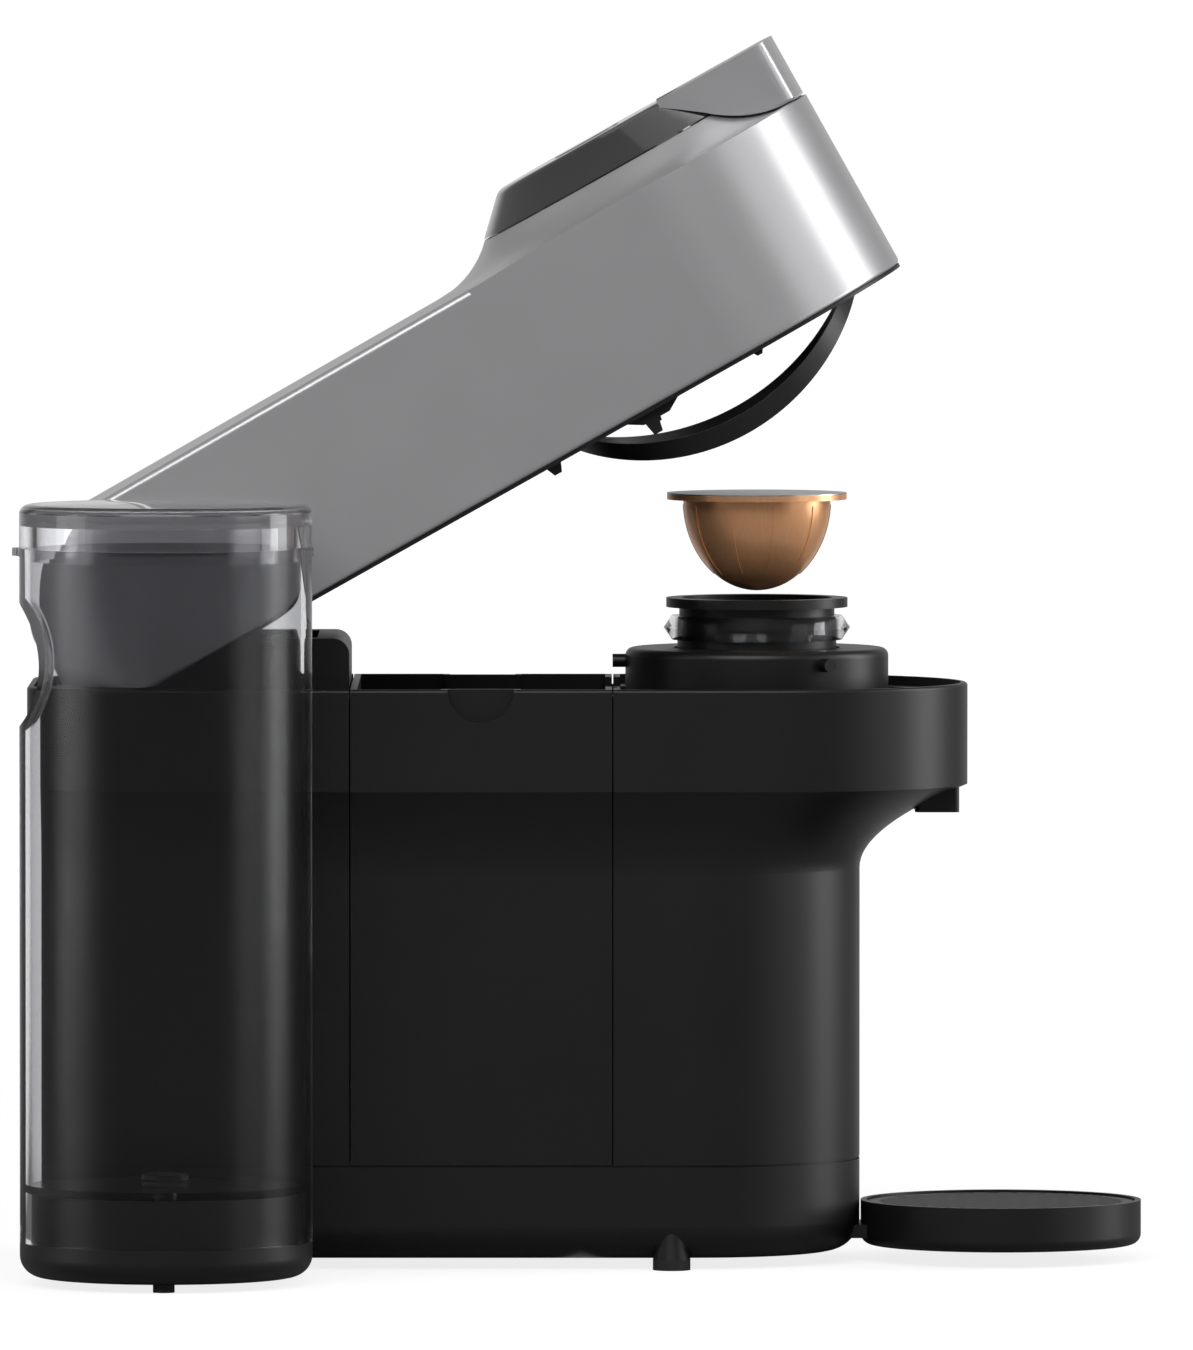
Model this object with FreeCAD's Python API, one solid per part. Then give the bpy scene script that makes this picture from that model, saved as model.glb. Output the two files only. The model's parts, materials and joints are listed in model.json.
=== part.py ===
import FreeCAD
import Part
import math
import os

# Pod coffee machine with its head open, a pod over the holder and a water tank beside the body.
# Driving dimensions are in millimetres. X points to the front, Z up from the table, and Y = 0 is
# the body's mid-plane until place() moves the whole part to the middle of its footprint.

# Brew group, worked out from the collar outwards
BREW_X = 60.1
COLLAR_R = 49.3
COLLAR_WALL = 3.0
COLLAR_RISE = 13.0
COLLAR_ROUND = 3.0
PIN_R = 2.5
PIN_OUT = 4.8
PIN_DROP = 5.0
PIN_ANGLES = (60.0, 180.0, 300.0)
RING_PLAY = 2.1
RING_WALL = 4.0
BOW_DROP = 25.0
BOW_BAND = 7.5
RING_BAND_H = 11.0
TROUGH_PLAY = 4.0
TROUGH_WALL = 2.0
SIDE_PLAY = 2.3
WALL = 2.5
RING_IN = COLLAR_R + PIN_OUT + RING_PLAY
RING_OUT = RING_IN + RING_WALL
TROUGH_R = RING_OUT + TROUGH_PLAY
RIM_HALF = TROUGH_R + TROUGH_WALL + SIDE_PLAY + WALL

# Body lengths
NOSE = 8.0
OVERHANG_FRONT = 40.4
OVERHANG_SIDE = 11.0
BIN_LENGTH = 97.3
BIN_MARGIN = 5.0
HINGE_BACK = 79.1
REAR_MARGIN = 41.9
CORNER_R = 36.0
SEAM = 0.5
SLIP = 0.2
RIM_FRONT = BREW_X + RIM_HALF + NOSE
WAIST_FRONT = RIM_FRONT - OVERHANG_FRONT
WAIST_HALF = RIM_HALF - OVERHANG_SIDE
BIN_FRONT = BREW_X - COLLAR_R - BIN_MARGIN
BIN_REAR = BIN_FRONT - BIN_LENGTH
HINGE_X = BIN_REAR - HINGE_BACK
BODY_REAR = HINGE_X - REAR_MARGIN
SHELL_FRONT_X = BIN_FRONT + SEAM
SHELL_REAR_X = BIN_REAR - SEAM

# Body heights
FOOT_H = 4.0
BASE_H = 35.3
BASE_ROUND = 12.0
BASE_SEAM = 0.8
BASE_SEAM_DEPTH = 0.9
RIM_TOP = 217.0
DECK_DROP = 3.5
HEAD_GAP = 0.5
BOW_PLAY = 1.0
DUCT_ROOM = 8.0
COVE_H = 31.2
COVE_POWER = 1.9
COVE_STEPS = 4
RIM_EDGE = 1.2
SCALLOP_UP = 3.5
SCALLOP_HALF = 42.0
GUIDE_Y = 50.0
GUIDE_HALF = 3.0
GUIDE_PROUD = 1.4
GUIDE_PLAY = 0.4
GUIDE_DROP = 3.0
BASE_TOP = FOOT_H + BASE_H
DECK_Z = RIM_TOP - DECK_DROP
UNDERSIDE_Z = RIM_TOP + HEAD_GAP
TROUGH_Z = UNDERSIDE_Z - BOW_DROP - BOW_PLAY
RIM_BOTTOM = TROUGH_Z - TROUGH_WALL - DUCT_ROOM - WALL
WAIST_TOP = RIM_BOTTOM - COVE_H
SCALLOP_Z = TROUGH_Z + SCALLOP_UP
COLLAR_TOP = RIM_TOP + COLLAR_RISE
PIN_Z = COLLAR_TOP - PIN_DROP

# Pod and its spinning holder
POD_R = 33.7
POD_FLANGE_H = 2.5
POD_WALL = 0.8
DOME_R = 27.6
DOME_DEPTH = 34.2
RIB_COUNT = 10
RIB_W = 1.6
RIB_OUT = 0.25
RIB_TOP = 2.0
RIB_BOTTOM = 28.0
RIB_TURN = -3.5
FOIL_H = 0.4
POD_PLAY = 0.5
POD_LIFT = 36.8
CUP_WALL = 1.0
HOLDER_FLANGE_R = 34.0
HOLDER_FLANGE_H = 3.5
NECK_H = 3.2
HOLDER_RING_H = 9.0
HOLDER_RING_R = 35.0
HOLDER_RING_EDGE = 3.0
HOLDER_LIFT = 3.0
BARREL_R = 29.8
BARREL_PLAY = 1.4
SHAFT_R = 6.0
SHAFT_FIT = 0.05
BEARING_R = 13.0
BEARING_H = 7.0
CUP_R = DOME_R + POD_PLAY
CUP_NECK_R = CUP_R + CUP_WALL
RING_BASE_Z = COLLAR_TOP + HOLDER_LIFT
RING_TOP_Z = RING_BASE_Z + HOLDER_RING_H
HOLDER_TOP = RING_TOP_Z + NECK_H + HOLDER_FLANGE_H
CUP_BOTTOM = HOLDER_TOP - DOME_DEPTH - POD_PLAY
CUP_FLOOR = 3.0
POD_Z = HOLDER_TOP + POD_LIFT
BARREL_BOTTOM = CUP_BOTTOM - CUP_FLOOR

# Spin drive and coffee outlet
MOTOR_R = 30.0
MOTOR_H = 52.0
MOTOR_TOP = RIM_BOTTOM - 9.0
MOUNT_H = 3.0
SHAFT_END = 8.0
DUCT_R = 3.2
DUCT_BORE = 2.2
DUCT_REACH = 40.0
OUTLET_LENGTH = 16.5
OUTLET_H = 10.3
OUTLET_HALF = 15.0
OUTLET_BACK = 3.3
OUTLET_ROUND = 2.0
OUTLET_X = RIM_FRONT - OUTLET_BACK - OUTLET_LENGTH / 2

# Used-pod container
NOTCH_R = 12.3
NOTCH_BACK = 48.8
NOTCH_DEPTH = 6.0
BIN_LIFT_GAP = 0.1

# Cup tray and grid
TRAY_R = 52.6
TRAY_GAP = 0.4
TRAY_TOP = 22.7
TRAY_Z = 6.0
TRAY_WALL = 2.2
TRAY_ROUND = 4.0
GRID_H = 2.4
GRID_DROP = 0.8
GRID_BAR = 2.2
GRID_GAP = 2.2
GRID_TURN = 35.0
TONGUE_HALF = 15.0
TONGUE_LENGTH = 10.0
TONGUE_H = 5.0
TONGUE_Z = 9.0
TRAY_X = WAIST_FRONT + TRAY_GAP + TRAY_R

# Water tank and its base
TANK_R = 54.0
TANK_WALL = 4.0
TANK_GAP = 2.0
TANK_FORWARD = 11.8
TANK_SKIRT_Z = 16.0
TANK_TOP = 269.0
TANK_FLOOR_Z = 34.0
TANK_FLOOR_H = 3.0
TANK_FOOT_H = 3.0
TANK_FOOT_R = 4.0
TANK_FOOT_COUNT = 3
TANK_BASE_ROUND = 8.0
TANK_FIT = 0.4
TANK_SEAT = 0.05
SCOOP_R = 37.0
SCOOP_DEPTH = 8.0
SCOOP_Z = 229.0
TANK_RIM_H = 3.0
TANK_RIM_OUT = 0.6
LIP_OUT = 2.6
LIP_HALF = 12.0
LID_H = 17.0
LID_TOP_H = 5.0
LID_PLUG_H = 5.0
LID_ROUND = 4.0
VALVE_R = 9.0
VALVE_H = 2.0
VALVE_STEM_R = 4.0
VALVE_HOLE_R = 4.6
SEAL_H = 1.2
PROBE_R = 3.2
PROBE_BORE = 1.6
BRIDGE_HALF = 16.0
BRIDGE_H = 8.0
TANK_X = HINGE_X + TANK_FORWARD
TANK_Y = -(RIM_HALF + TANK_GAP + TANK_R)

# Hinge and head; head heights count up from the head's underside when it is closed
OPEN_ANGLE = 29.3
HINGE_UP = 28.3
HINGE_R = 12.0
HINGE_PIN_R = 4.0
HINGE_FIT = 0.05
PIN_PROUD = 1.0
BUSH_WALL = 2.0
BLOCK_HALF = 44.0
BLOCK_TOP = 235.0
BLOCK_ROUND = 6.0
EAR_W = 10.0
EAR_GAP = 2.0
KNUCKLE_W = 11.0
TAIL_PLAY = 0.3
TAIL_INSET = 1.9
HEAD_OVER = 1.1
HEAD_H_REAR = 71.0
HEAD_RISE = 3.0
HEAD_EDGE = 2.5
HEAD_LOWER_ROUND = 2.0
TAIL_ROUND = 34.0
TAIL_BEND = 0.36
TAIL_SLOT = 0.6
PLATE_H = 3.0
TRIM_H = 1.2
EDGE_INSET = 0.6
RING_SLOT = 0.8
TOOTH_W = 4.0
TOOTH_Y = 64.0
TOOTH_PLAY = 1.5
# Place along X from the brew axis, length and depth of each catch tooth
TEETH = ((-27.1, 22.0, 3.3), (-29.1, 7.0, 8.4), (-69.1, 6.0, 3.5), (17.9, 4.0, 1.5))
NECK_FOOT_R = 77.0
NECK_SKIRT_R = 96.0
NECK_SKIRT_DROP = 1.4
NECK_RISE = 10.4
NECK_SINK = 0.4
CROWN_R = 51.6
CROWN_TOP_R = 38.0
CROWN_H = 13.4
CROWN_ROUND = 3.0
CROWN_WALL = 3.0
CROWN_GAP = 0.6
LEVER_HALF = 27.0
LEVER_BACK_R = 40.4
LEVER_ROUND = 5.0
LEVER_TRIM_H = 0.9
LEVER_PLAY = 0.8
LEVER_SET_BACK = 0.6
LEVER_PROUD = 0.4
BUTTON_R = 13.5
BUTTON_PLAY = 0.4
BUTTON_H = 3.0
BUTTON_TRAVEL = 2.0
BUTTON_STEM_R = 4.0
TWIST = 25.0
LEG_W = 9.0
LEG_WALL = 4.0
LEG_COUNT = 3
LEG_PLAY = 2.2
LEG_TURN = 20.0
SLOT_PLAY = 2.0
LUG_IN = 3.8
LUG_H = 4.0
LUG_HALF_ANGLE = 8.0
BRIDGE_PLATE_H = 4.0
BRIDGE_UP = 56.0
POST_R = 3.0
# Places of the bridge's posts as shares of the ring's radius: along X, then along Y
POSTS_BACK = (0.86, 0.917)
POSTS_AHEAD = (0.66, 0.883)
BRIDGE_AHEAD = 0.8
BREW_PLATE_R = 36.0
BREW_PLATE_H = 7.0
BREW_PLAY = 0.5
SEAL_W = 4.0
NEEDLE_R = 1.5
NEEDLE_TIP_R = 0.2
HINGE_Z = UNDERSIDE_Z + HINGE_UP
TAIL_R = HINGE_UP - TAIL_PLAY
HEAD_FRONT = RIM_FRONT + HEAD_OVER
HEAD_REAR = BODY_REAR + TAIL_INSET
HEAD_H_FRONT = HEAD_H_REAR + HEAD_RISE
NECK_TOP = HEAD_H_FRONT + NECK_RISE
CROWN_BASE = NECK_TOP + CROWN_GAP
CROWN_TOP = CROWN_BASE + CROWN_H
LEVER_R = HEAD_FRONT - BREW_X - LEVER_SET_BACK
LEG_R = COLLAR_R + LEG_PLAY


# Fasteners and the inside of the rear section
SCREW_R = 1.5
SCREW_HEAD_R = 3.0
SCREW_HEAD_H = 2.0
SCREW_FIT = 0.05
SCREW_INSET = 15.0
LUG_R = 5.0
LUG_DEPTH = 9.0
FOOT_R = 7.0
FOOT_INSET = 5.5
REAR_FOOT_INSET = 20.0
POST_TOP_R = 4.0
POST_H = 17.0
FRONT_FOOT_X = 28.0
REAR_FOOT_BACK = 24.0
GLAND_R = 7.0
GLAND_H = 9.0
GLAND_BORE = 3.5
GLAND_UP = 18.0
PUMP_R = 17.0
PUMP_LENGTH = 56.0
PUMP_Y = -18.0
CRADLE_SHARE = 0.7
PUMP_Z = 62.0
PUMP_REAR_MARGIN = 39.5
BRACKET_LENGTH = 22.0
HEATER_R = 20.0
HEATER_H = 80.0
HEATER_Y = 30.0
HEATER_FOOT_R = 11.0
HEATER_UP = 50.0
HOSE_R = 3.0
HOSE_BEND = 12.0
HOSE_RISE = 18.0
BOARD_H = 80.0
BOARD_HALF = 36.0
BOARD_T = 1.6
STANDOFF = 4.0
FLOOR_Z = FOOT_H + WALL
SPIN_X = BREW_X


def vec(x, y, z):
    return FreeCAD.Vector(x, y, z)


def box(x0, x1, y0, y1, z0, z1):
    return Part.makeBox(x1 - x0, y1 - y0, z1 - z0, vec(x0, y0, z0))


def rod(radius, z0, z1, x=0.0, y=0.0):
    return Part.makeCylinder(radius, z1 - z0, vec(x, y, z0))


def tube(outer, inner, z0, z1, x=0.0, y=0.0):
    return rod(outer, z0, z1, x, y).cut(rod(inner, z0, z1, x, y))


def cross_rod(radius, y0, y1, x, z):
    return Part.makeCylinder(radius, y1 - y0, vec(x, y0, z), vec(0, 1, 0))


def line(start, end):
    return Part.LineSegment(start, end).toShape()


def arc(start, middle, end):
    return Part.Arc(start, middle, end).toShape()


def outline(steps):
    """Closed XZ face. Two numbers are a straight run to a point, four an arc through a point."""
    start = vec(steps[0][0], 0, steps[0][1])
    here = start
    edges = []
    for step in steps[1:]:
        end = vec(step[-2], 0, step[-1])
        if len(step) == 4:
            edges.append(arc(here, vec(step[0], 0, step[1]), end))
        else:
            edges.append(line(here, end))
        here = end
    edges.append(line(here, start))
    return Part.Face(Part.Wire(edges))


def turned(steps, x, y=0.0, z=0.0):
    """Solid turned about a vertical axis, from (radius, height) steps."""
    solid = outline(steps).revolve(vec(0, 0, 0), vec(0, 0, 1), 360)
    return solid.translated(vec(x, y, z))


def sheet(steps, y0, y1):
    """XZ outline drawn out along Y."""
    return outline(steps).translated(vec(0, y0, 0)).extrude(vec(0, y1 - y0, 0))


def level_edges(solid, z):
    """Edges of a solid that lie flat at one height."""
    tiny = 0.001
    return [e for e in solid.Edges if abs(e.BoundBox.ZMin - z) < tiny and abs(e.BoundBox.ZMax - z) < tiny]


def plan(front, rear, half, corner, z):
    """Plan outline with a half-round front and rounded rear corners."""
    centre = front - half
    near = corner * (1 - math.sqrt(0.5))
    left = [vec(centre, half, z), vec(rear + corner, half, z), vec(rear, half - corner, z)]
    right = [vec(p.x, -p.y, z) for p in left]
    edges = [
        arc(right[0], vec(front, 0, z), left[0]),
        line(left[0], left[1]),
        arc(left[1], vec(rear + near, half - near, z), left[2]),
        line(left[2], right[2]),
        arc(right[2], vec(rear + near, near - half, z), right[1]),
        line(right[1], right[0]),
    ]
    return Part.Wire(edges)


def prism(wire, height):
    return Part.Face(wire).extrude(vec(0, 0, height))


def body_plan(share, inset, z):
    """Body outline at a height; share runs from 0 at the waist to 1 at the rim."""
    front = WAIST_FRONT + OVERHANG_FRONT * share - inset
    half = WAIST_HALF + OVERHANG_SIDE * share - inset
    return plan(front, BODY_REAR + inset, half, CORNER_R - inset, z)


def body_solid(inset, top):
    """Body above the base: waist, cove under the rim, and rim, drawn in by inset."""
    waist = prism(body_plan(0, inset, BASE_TOP), WAIST_TOP + inset - BASE_TOP)
    shares = [k / COVE_STEPS for k in range(COVE_STEPS + 1)]
    wires = [body_plan(s ** COVE_POWER, inset, WAIST_TOP + inset + COVE_H * s) for s in shares]
    cove = Part.makeLoft(wires, True, False)
    rim = prism(body_plan(1, inset, RIM_BOTTOM + inset), top - RIM_BOTTOM - inset)
    if inset == 0:
        rim = rim.makeFillet(RIM_EDGE, level_edges(rim, RIM_TOP))
    return waist.multiFuse([cove, rim])


def span(x0, x1, z0, z1):
    """Block across the full width of the machine between two stations."""
    return box(x0, x1, -2 * RIM_HALF, 2 * RIM_HALF, z0, z1)


def screw_places():
    y = WAIST_HALF - SCREW_INSET
    rows = (
        BODY_REAR + 2 * SCREW_INSET,
        SHELL_REAR_X - SCREW_INSET,
        SHELL_FRONT_X + SCREW_INSET,
        WAIST_FRONT - 3 * SCREW_INSET,
    )
    return [(x, side * y) for x in rows for side in (-1, 1)]


def lugs(body, z0, z1, hole):
    """Screw lugs joined to the side walls, with a hole for each screw."""
    solid = body
    for x, y in screw_places():
        reach = sorted((y, math.copysign(WAIST_HALF - WALL / 2, y)))
        lug = rod(LUG_R, z0, z1, x, y).fuse(box(x - LUG_R, x + LUG_R, reach[0], reach[1], z0, z1))
        near = prism(body_plan(0, WALL / 2, z0), z1 - z0)
        solid = solid.fuse(lug.common(near)).cut(rod(hole, z0, z1, x, y))
    return solid


def base_pan():
    outer = prism(body_plan(0, 0, FOOT_H), BASE_H)
    outer = outer.makeFillet(BASE_ROUND, level_edges(outer, FOOT_H))
    round_in = BASE_ROUND - WALL
    room = prism(body_plan(0, WALL, FLOOR_Z), BASE_TOP - FLOOR_Z)
    room = room.makeFillet(round_in, level_edges(room, FLOOR_Z))
    shelf = span(SHELL_REAR_X - WALL, SHELL_FRONT_X + WALL, BASE_TOP - WALL, BASE_TOP)
    pan = outer.cut(room.cut(shelf))
    pan = lugs(pan, BASE_TOP - LUG_DEPTH, BASE_TOP - WALL, SCREW_R + SCREW_FIT)
    for x, y in foot_places()[:2]:
        post = Part.makeCone(FOOT_R, POST_TOP_R, POST_H, vec(x, y, FOOT_H))
        pan = pan.fuse(post.cut(room))
    slot = box(
        WAIST_FRONT - TONGUE_LENGTH - WALL, WAIST_FRONT + 1,
        -TONGUE_HALF - SLIP, TONGUE_HALF + SLIP, TONGUE_Z - SLIP, TONGUE_Z + TONGUE_H + SLIP,
    )
    inlet_start = vec(TANK_X, -WAIST_HALF - WALL, bridge_z())
    inlet = Part.makeCylinder(HOSE_R + SLIP, BASE_ROUND + 2 * WALL, inlet_start, vec(0, 1, 0))
    seam_z = BASE_TOP - BASE_SEAM
    seam = prism(body_plan(0, -WALL, seam_z), WALL).cut(prism(body_plan(0, BASE_SEAM_DEPTH, seam_z), WALL))
    return pan.cut(slot).cut(inlet).cut(seam)


def foot_places():
    front_y = WAIST_HALF - FOOT_INSET
    rear_y = WAIST_HALF - REAR_FOOT_INSET
    rear_x = BODY_REAR + REAR_FOOT_BACK
    return [(FRONT_FOOT_X, -front_y), (FRONT_FOOT_X, front_y), (rear_x, -rear_y), (rear_x, rear_y)]


def rubber_feet():
    return Part.makeCompound([rod(FOOT_R, 0, FOOT_H, x, y) for x, y in foot_places()])


def rear_shell(outer):
    shell = outer.common(span(BODY_REAR - 1, SHELL_REAR_X, BASE_TOP, RIM_TOP))
    room = body_solid(WALL, DECK_Z - WALL)
    room = room.common(span(BODY_REAR, SHELL_REAR_X - WALL, BASE_TOP, RIM_TOP))
    rear = span(BODY_REAR, SHELL_REAR_X, 0, RIM_TOP)
    pocket = prism(body_plan(1, WALL, DECK_Z), DECK_DROP).common(rear)
    gland_start = vec(BODY_REAR - WALL, 0, BASE_TOP + GLAND_UP)
    gland = Part.makeCylinder(GLAND_R, 4 * WALL, gland_start, vec(1, 0, 0))
    return shell.cut(room).cut(pocket).cut(gland)


def guide_bars(play, bottom, top):
    """Bars down the front of the container, or with play the grooves of the shell that they run in."""
    x0 = BIN_FRONT - WALL / 2
    x1 = BIN_FRONT + GUIDE_PROUD + play
    half = GUIDE_HALF + play
    return [box(x0, x1, y - half, y + half, bottom, top) for y in (-GUIDE_Y, GUIDE_Y)]


def front_shell(outer):
    shell = outer.common(span(SHELL_FRONT_X, RIM_FRONT + 1, BASE_TOP, RIM_TOP))
    inner = span(SHELL_FRONT_X + WALL, RIM_FRONT, BASE_TOP, RIM_TOP + 1)
    room = body_solid(WALL, RIM_TOP + 1).common(inner)
    scallop = box(
        SHELL_FRONT_X - 1, SHELL_FRONT_X + WALL + 1, -SCALLOP_HALF, SCALLOP_HALF, SCALLOP_Z, RIM_TOP + 1,
    )
    spout = rod(DUCT_R + SLIP, WAIST_TOP, RIM_BOTTOM + 2 * WALL, OUTLET_X)
    grooves = guide_bars(GUIDE_PLAY, BASE_TOP, RIM_TOP + 1)
    return shell.cut(room).cut(scallop).cut(spout).cut(grooves)


def shell_lugs(shell, x0, x1):
    """Lugs of the shells take the screws that come up through the base."""
    z0 = BASE_TOP
    with_lugs = lugs(shell, z0, z0 + LUG_DEPTH, SCREW_R + SCREW_FIT)
    return with_lugs.common(span(x0, x1, z0, RIM_TOP))


def case_screws():
    head_top = BASE_TOP - LUG_DEPTH
    screws = []
    for x, y in screw_places():
        head = rod(SCREW_HEAD_R, head_top - SCREW_HEAD_H, head_top, x, y)
        screws.append(head.fuse(rod(SCREW_R, head_top, BASE_TOP + LUG_DEPTH, x, y)))
    return Part.makeCompound(screws)


def pod_container(outer):
    block = outer.common(span(BIN_REAR, BIN_FRONT, BASE_TOP + BIN_LIFT_GAP, RIM_TOP))
    room = body_solid(WALL, RIM_TOP + 1)
    room = room.common(span(BIN_REAR + WALL, BIN_FRONT - WALL, BASE_TOP + WALL, RIM_TOP + 1))
    notch_x = BIN_FRONT - NOTCH_BACK
    solid = block.cut(room)
    for side in (-1, 1):
        y = sorted((side * (RIM_HALF - NOTCH_DEPTH), side * (RIM_HALF + WALL)))
        back = sorted((side * (RIM_HALF - NOTCH_DEPTH - WALL), side * (RIM_HALF - WALL / 2)))
        pad = cross_rod(NOTCH_R + WALL, back[0], back[1], notch_x, RIM_TOP)
        pad = pad.common(span(BIN_REAR, BIN_FRONT, BASE_TOP, RIM_TOP))
        solid = solid.fuse(pad).cut(cross_rod(NOTCH_R, y[0], y[1], notch_x, RIM_TOP))
    scallop_rear = BIN_FRONT - 2 * WALL
    scallop = box(scallop_rear, BIN_FRONT + 1, -SCALLOP_HALF, SCALLOP_HALF, SCALLOP_Z, RIM_TOP + 1)
    bars = guide_bars(0, BASE_TOP + BIN_LIFT_GAP, RIM_TOP - GUIDE_DROP)
    return solid.cut(scallop).multiFuse(bars)


def brew_deck():
    """Drip deck inside the rim, with the channel that the lock ring drops into."""
    rear = SHELL_FRONT_X + WALL + SLIP
    plate = prism(body_plan(1, WALL + SLIP, DECK_Z - WALL), WALL).cut(rod(TROUGH_R, 0, RIM_TOP, SPIN_X))
    channel = tube(TROUGH_R + TROUGH_WALL, TROUGH_R, TROUGH_Z - TROUGH_WALL, DECK_Z, SPIN_X)
    floor = tube(TROUGH_R + TROUGH_WALL, SHAFT_R + EAR_GAP, TROUGH_Z - TROUGH_WALL, TROUGH_Z, SPIN_X)
    seat = tube(BEARING_R + TROUGH_WALL, BEARING_R, TROUGH_Z, TROUGH_Z + BEARING_H, SPIN_X)
    deck = plate.multiFuse([channel, floor, seat]).common(span(rear, RIM_FRONT, 0, RIM_TOP))
    scallop = box(rear - 1, rear + WALL, -SCALLOP_HALF, SCALLOP_HALF, SCALLOP_Z, RIM_TOP)
    drain = rod(DUCT_BORE, TROUGH_Z - WALL, TROUGH_Z + 1, SPIN_X + DUCT_REACH)
    deck = deck.cut(scallop).cut(drain)
    reach = TOOTH_W / 2 + TOOTH_PLAY
    for y in (-TOOTH_Y, TOOTH_Y):
        for x, length, depth in TEETH:
            if depth > DECK_DROP:
                half = length / 2 + TOOTH_PLAY
                middle = SPIN_X + x
                deck = deck.cut(box(middle - half, middle + half, y - reach, y + reach, TROUGH_Z, RIM_TOP))
    return deck


def brew_collar():
    r = COLLAR_R
    bend = COLLAR_ROUND * (1 - math.sqrt(0.5))
    mouth = BARREL_R + BARREL_PLAY
    ring = turned([
        (r - COLLAR_WALL, TROUGH_Z),
        (r, TROUGH_Z),
        (r, COLLAR_TOP - COLLAR_ROUND),
        (r - bend, COLLAR_TOP - bend, r - COLLAR_ROUND, COLLAR_TOP),
        (mouth, COLLAR_TOP),
        (mouth, COLLAR_TOP - COLLAR_WALL),
        (r - COLLAR_WALL, COLLAR_TOP - COLLAR_WALL),
    ], SPIN_X)
    for angle in PIN_ANGLES:
        ring = ring.cut(radial_rod(PIN_R + SCREW_FIT, r - 2 * COLLAR_WALL, r + 1, PIN_Z, angle))
    return ring


def radial_rod(radius, r0, r1, z, angle):
    """Rod that points away from the brew axis."""
    out = vec(math.cos(math.radians(angle)), math.sin(math.radians(angle)), 0)
    return Part.makeCylinder(radius, r1 - r0, vec(SPIN_X, 0, z) + out * r0, out)


def collar_pins():
    inner = COLLAR_R - COLLAR_WALL
    outer = COLLAR_R + PIN_OUT
    return Part.makeCompound([radial_rod(PIN_R, inner, outer, PIN_Z, a) for a in PIN_ANGLES])


def coffee_duct():
    """Bent tube from the drain in the deck to the outlet."""
    z = RIM_BOTTOM + WALL + DUCT_R
    start = SPIN_X + DUCT_REACH
    end = OUTLET_X
    top = TROUGH_Z - TROUGH_WALL
    low = outlet_top()
    parts = []
    for radius in (DUCT_R, DUCT_BORE):
        run = Part.makeCylinder(radius, end - start, vec(start, 0, z), vec(1, 0, 0))
        bends = [Part.makeSphere(radius, vec(x, 0, z)) for x in (start, end)]
        parts.append(rod(radius, z, top, start).multiFuse([run, rod(radius, low, z, end)] + bends))
    return parts[0].cut(parts[1])


def outlet_top():
    """Height at which the cove meets the outlet's axis, less the wall that the duct ends in."""
    share = (OUTLET_X - WAIST_FRONT) / OVERHANG_FRONT
    return WAIST_TOP + COVE_H * share ** (1 / COVE_POWER)


def coffee_outlet(outer):
    x0 = OUTLET_X - OUTLET_LENGTH / 2
    bottom = RIM_BOTTOM - OUTLET_H
    block = box(x0, x0 + OUTLET_LENGTH, -OUTLET_HALF, OUTLET_HALF, bottom, RIM_BOTTOM + WALL)
    uprights = [e for e in block.Edges if e.BoundBox.ZLength > OUTLET_H]
    block = block.makeFillet(OUTLET_ROUND, uprights)
    return block.cut(outer).cut(rod(DUCT_R, bottom, RIM_BOTTOM, OUTLET_X))


def dome(radius, depth, z):
    """Lower half of an ellipsoid on the brew axis, flat on top at z."""
    ball = Part.makeSphere(radius, vec(0, 0, 0), vec(0, 0, 1), -90, 0, 360)
    stretch = FreeCAD.Matrix()
    stretch.scale(1, 1, depth / radius)
    return ball.transformGeometry(stretch).translated(vec(SPIN_X, 0, z))


def pod_holder():
    flange_z = HOLDER_TOP - HOLDER_FLANGE_H
    flange = rod(HOLDER_FLANGE_R, flange_z, HOLDER_TOP, SPIN_X)
    neck = rod(CUP_NECK_R, RING_BASE_Z, flange_z, SPIN_X)
    barrel = rod(BARREL_R, BARREL_BOTTOM, RING_BASE_Z, SPIN_X)
    return flange.multiFuse([neck, barrel]).cut(dome(CUP_R, DOME_DEPTH + POD_PLAY, HOLDER_TOP))


def holder_ring():
    inner = CUP_NECK_R + SCREW_FIT
    shoulder = HOLDER_RING_R - HOLDER_RING_EDGE
    return turned([
        (inner, RING_BASE_Z),
        (shoulder, RING_BASE_Z),
        (HOLDER_RING_R, RING_BASE_Z + HOLDER_RING_H / 2),
        (shoulder, RING_TOP_Z),
        (inner, RING_TOP_Z),
    ], SPIN_X)


def drive_shaft():
    return rod(SHAFT_R, MOTOR_TOP - MOTOR_H - SHAFT_END, BARREL_BOTTOM, SPIN_X)


def spin_motor():
    return tube(MOTOR_R, SHAFT_R + SHAFT_FIT, MOTOR_TOP - MOTOR_H, MOTOR_TOP, SPIN_X)


def motor_bracket():
    """Plate over the motor, hung from the deck on three posts."""
    ring_r = MOTOR_R + 2 * POST_R
    plate = tube(ring_r + 2 * POST_R, SHAFT_R + EAR_GAP, MOTOR_TOP, MOTOR_TOP + MOUNT_H, SPIN_X)
    top = TROUGH_Z - TROUGH_WALL
    for angle in PIN_ANGLES:
        x = SPIN_X + ring_r * math.cos(math.radians(angle))
        y = ring_r * math.sin(math.radians(angle))
        plate = plate.fuse(rod(POST_R, MOTOR_TOP, top, x, y))
    return plate


def spin_bearing():
    return tube(BEARING_R - SCREW_FIT, SHAFT_R + SHAFT_FIT, TROUGH_Z, TROUGH_Z + BEARING_H, SPIN_X)


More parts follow.
